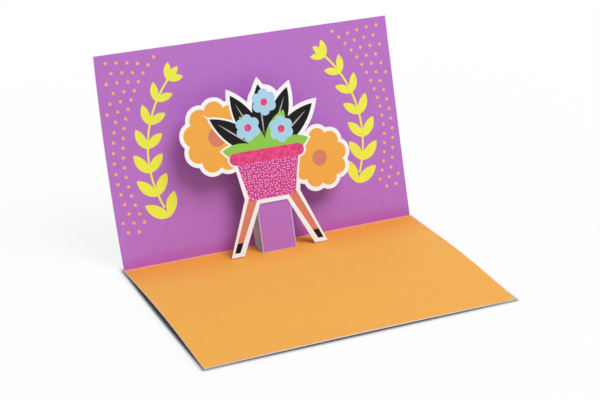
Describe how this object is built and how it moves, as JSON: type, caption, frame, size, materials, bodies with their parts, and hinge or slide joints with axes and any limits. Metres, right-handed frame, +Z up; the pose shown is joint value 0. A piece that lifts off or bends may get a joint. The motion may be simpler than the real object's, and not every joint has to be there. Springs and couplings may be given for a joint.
{
  "type": "pop-up notecard",
  "caption": "Folded notecard standing open, with a die-cut printed sheet that pops up in front of its back panel on a folded card ring.",
  "frame": {"origin": "on the surface that the card stands on, under the middle of the open card's outline", "axes": "+X along the crease, to the right as seen from the front; -Y to the front; +Z up"},
  "size_m": [0.1524, 0.135, 0.0966],
  "materials": {
    "card_stock": "matt printed card, purple and orange inside, white outside and at the cut edges",
    "ring_card": "matt card, printed purple on the outside, white inside",
    "printed_sheet": "matt printed sheet with a white border and a white back"
  },
  "bodies": {
    "root": {"folded_card": "card_stock", "pop_up_ring": "ring_card", "pop_up_cutout": "printed_sheet"}
  },
  "joints": []
}
